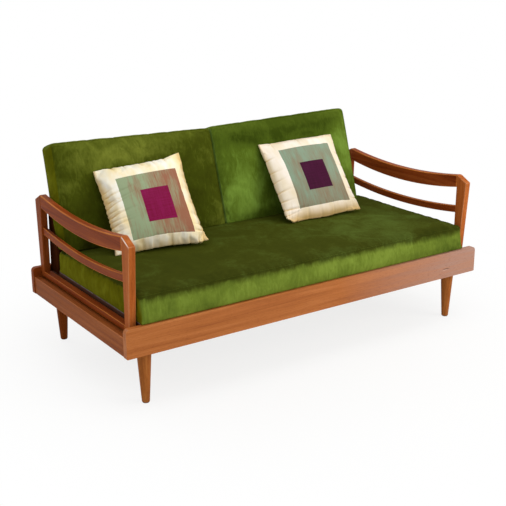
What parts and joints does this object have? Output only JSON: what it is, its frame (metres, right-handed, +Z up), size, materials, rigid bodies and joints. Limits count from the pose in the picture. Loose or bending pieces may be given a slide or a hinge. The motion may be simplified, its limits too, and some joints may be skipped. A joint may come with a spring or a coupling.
{
  "type": "velvet sofa",
  "caption": "Wooden daybed sofa on tapered legs with open curved fold-out arms, a long green velvet mattress, leaning velvet back cushions and square silk scatter pillows",
  "frame": {"origin": "on the floor under the middle of the sofa's bounding box", "axes": "+X along the length to the sitter's left when facing out, -Y to the front, +Z up"},
  "size_m": [1.9, 0.95, 0.9338],
  "materials": {
    "frame_wood": "red-brown polished hardwood",
    "dark_wood": "dark oiled hardwood",
    "pale_wood": "bare planed softwood",
    "grey_steel": "grey paint on angle steel",
    "zinc_steel": "zinc-plated",
    "brass": "turned brass",
    "glide": "hard black plastic",
    "velvet": "olive-green velvet pile",
    "silk": "pale slubbed silk"
  },
  "bodies": {
    "base": {"front_rail": "frame_wood", "rear_rail": "frame_wood", "left_end_board": "frame_wood", "right_end_board": "frame_wood", "left_arm_ledge": "dark_wood", "right_arm_ledge": "dark_wood", "leg_block_front_left": "dark_wood", "leg_block_front_right": "dark_wood", "leg_block_rear_left": "dark_wood", "leg_block_rear_right": "dark_wood", "leg_front_left": "frame_wood", "leg_front_right": "frame_wood", "leg_rear_left": "frame_wood", "leg_rear_right": "frame_wood", "glide_front_left": "glide", "glide_front_right": "glide", "glide_rear_left": "glide", "glide_rear_right": "glide", "leg_studs": "zinc_steel", "left_cross_rail": "dark_wood", "right_cross_rail": "dark_wood", "centre_rail": "dark_wood", "rear_bearer": "dark_wood", "front_cleats": "pale_wood", "frame_dowels": "pale_wood", "front_angle": "grey_steel", "rear_angle": "grey_steel", "left_angle": "grey_steel", "right_angle": "grey_steel", "slats": "pale_wood", "left_bracket": "dark_wood", "centre_bracket": "dark_wood", "right_bracket": "dark_wood", "back_top_rail": "frame_wood", "back_mid_rail": "frame_wood", "back_low_rail": "frame_wood", "back_screws": "zinc_steel", "bracket_bolts": "zinc_steel", "pivot_pins": "zinc_steel", "pivot_spacers": "zinc_steel"},
    "left_arm": {"left_front_post": "frame_wood", "left_rear_post": "frame_wood", "left_arm_rail": "frame_wood", "left_arm_slat": "frame_wood", "left_foot_rail": "frame_wood", "left_bushes": "brass"},
    "right_arm": {"right_front_post": "frame_wood", "right_rear_post": "frame_wood", "right_arm_rail": "frame_wood", "right_arm_slat": "frame_wood", "right_foot_rail": "frame_wood", "right_bushes": "brass"},
    "mattress_body": {"mattress": "velvet"},
    "left_back_cushion_body": {"left_back_cushion": "velvet"},
    "right_back_cushion_body": {"right_back_cushion": "velvet"},
    "left_pillow_body": {"left_pillow": "silk"},
    "right_pillow_body": {"right_pillow": "silk"}
  },
  "joints": [
    {"name": "left_arm_fold", "type": "hinge", "parent": "base", "child": "left_arm", "pos_m": [-0.8965, 0, 0.332], "axis": [0, -1, 0], "range_deg": [0, 90]},
    {"name": "right_arm_fold", "type": "hinge", "parent": "base", "child": "right_arm", "pos_m": [0.8965, 0, 0.332], "axis": [0, 1, 0], "range_deg": [0, 90]},
    {"name": "mattress_lift", "type": "slide", "parent": "base", "child": "mattress_body", "axis": [0, 0, 1], "range_m": [0, 0.25]},
    {"name": "left_cushion_lift", "type": "slide", "parent": "mattress_body", "child": "left_back_cushion_body", "axis": [0, 0, 1], "range_m": [0, 0.35]},
    {"name": "right_cushion_lift", "type": "slide", "parent": "mattress_body", "child": "right_back_cushion_body", "axis": [0, 0, 1], "range_m": [0, 0.35]},
    {"name": "left_pillow_lift", "type": "slide", "parent": "left_back_cushion_body", "child": "left_pillow_body", "axis": [0, -0.7071, 0.7071], "range_m": [0, 0.3]},
    {"name": "right_pillow_lift", "type": "slide", "parent": "right_back_cushion_body", "child": "right_pillow_body", "axis": [0, -0.7071, 0.7071], "range_m": [0, 0.3]}
  ]
}
